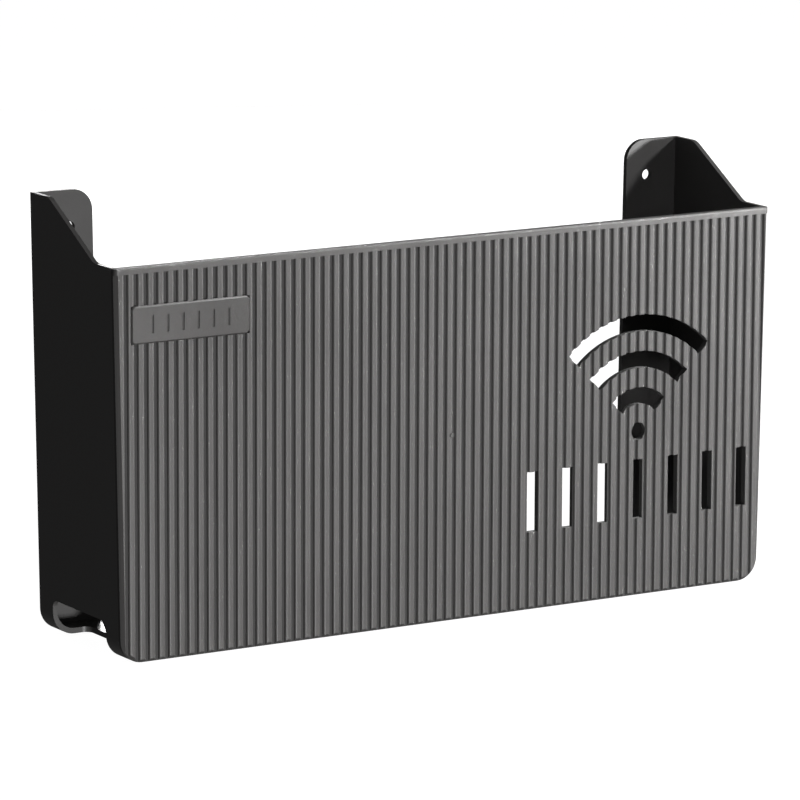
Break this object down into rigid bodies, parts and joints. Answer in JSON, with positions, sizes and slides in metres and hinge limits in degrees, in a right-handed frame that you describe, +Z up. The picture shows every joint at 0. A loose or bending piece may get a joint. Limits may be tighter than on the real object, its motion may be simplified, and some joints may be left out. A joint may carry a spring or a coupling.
{
  "type": "wall-hung router storage box",
  "caption": "Open-topped wall-hung box with a fluted front, pictogram cut-outs and sloping side walls, made to hold a wireless router and its cables.",
  "frame": {"origin": "midway between the two wall holes, on the wall plane that the back flanges lie against", "axes": "+X to the right as seen from the front, +Y into the wall, +Z up"},
  "size_m": [0.3808, 0.0862, 0.2206],
  "materials": {
    "body_plastic": "fine matt texture, slightly silky",
    "nameplate_plastic": "fine matt texture",
    "zinc_steel": "zinc plated"
  },
  "bodies": {
    "root": {"front_panel": "body_plastic", "nameplate": "nameplate_plastic", "left_end_wall": "body_plastic", "right_end_wall": "body_plastic", "floor_plate": "body_plastic", "side_screws": "zinc_steel", "floor_screws": "zinc_steel"}
  },
  "joints": []
}
